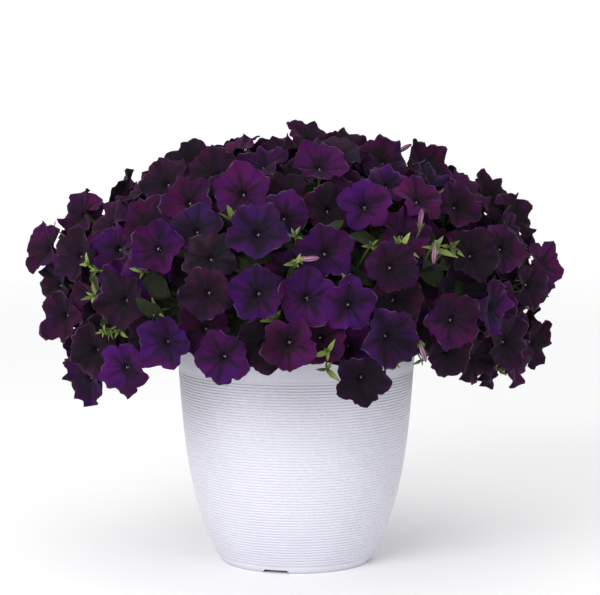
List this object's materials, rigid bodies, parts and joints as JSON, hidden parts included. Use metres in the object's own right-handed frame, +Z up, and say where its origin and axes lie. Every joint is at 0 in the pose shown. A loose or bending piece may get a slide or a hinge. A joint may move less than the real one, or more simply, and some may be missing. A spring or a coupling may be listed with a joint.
{
  "type": "potted petunia plant",
  "caption": "Mounding petunia in full dark purple flower, with small green leaves among the blooms, standing in a ribbed white tapered plastic pot full of soil.",
  "frame": {"origin": "centre of the pot's foot, on the surface that it stands on", "axes": "+Z up, -Y towards the front that the picture shows, +X to the right of that view"},
  "size_m": [0.6827, 0.6246, 0.565],
  "materials": {
    "pot": "moulded white plastic with a cool tint, fine horizontal ribs, soft satin sheen",
    "soil": "dark potting soil of bark and peat, moist and loose",
    "petals": "velvety petals, almost black purple to violet and plum, paler on the back",
    "foliage": "soft hairy leaves and stems, yellow-green at the tips"
  },
  "bodies": {
    "root": {"pot": "pot", "soil": "soil", "spray_01": "petals", "spray_02": "petals", "spray_03": "petals", "spray_04": "petals", "spray_05": "petals", "spray_06": "petals", "spray_07": "petals", "spray_08": "petals", "spray_09": "petals", "spray_10": "petals", "spray_11": "petals", "spray_12": "petals", "spray_13": "petals", "spray_14": "petals", "spray_15": "petals", "spray_16": "petals", "spray_17": "petals", "spray_18": "petals", "spray_19": "petals", "spray_20": "petals", "spray_21": "petals", "spray_22": "petals", "spray_23": "petals", "spray_24": "petals", "spray_25": "petals", "spray_26": "petals", "spray_27": "petals", "spray_28": "petals", "shoot_01": "foliage", "shoot_02": "foliage", "shoot_03": "foliage", "shoot_04": "foliage", "shoot_05": "foliage", "shoot_06": "foliage", "shoot_07": "foliage", "shoot_08": "foliage", "shoot_09": "foliage", "shoot_10": "foliage", "shoot_11": "foliage", "shoot_12": "foliage", "shoot_13": "foliage", "shoot_14": "foliage", "shoot_15": "foliage", "shoot_16": "foliage", "shoot_17": "foliage", "shoot_18": "foliage", "shoot_19": "foliage", "shoot_20": "foliage", "shoot_21": "foliage", "shoot_22": "foliage", "shoot_23": "foliage", "shoot_24": "foliage", "shoot_25": "foliage", "shoot_26": "foliage", "shoot_27": "foliage", "shoot_28": "foliage"}
  },
  "joints": []
}
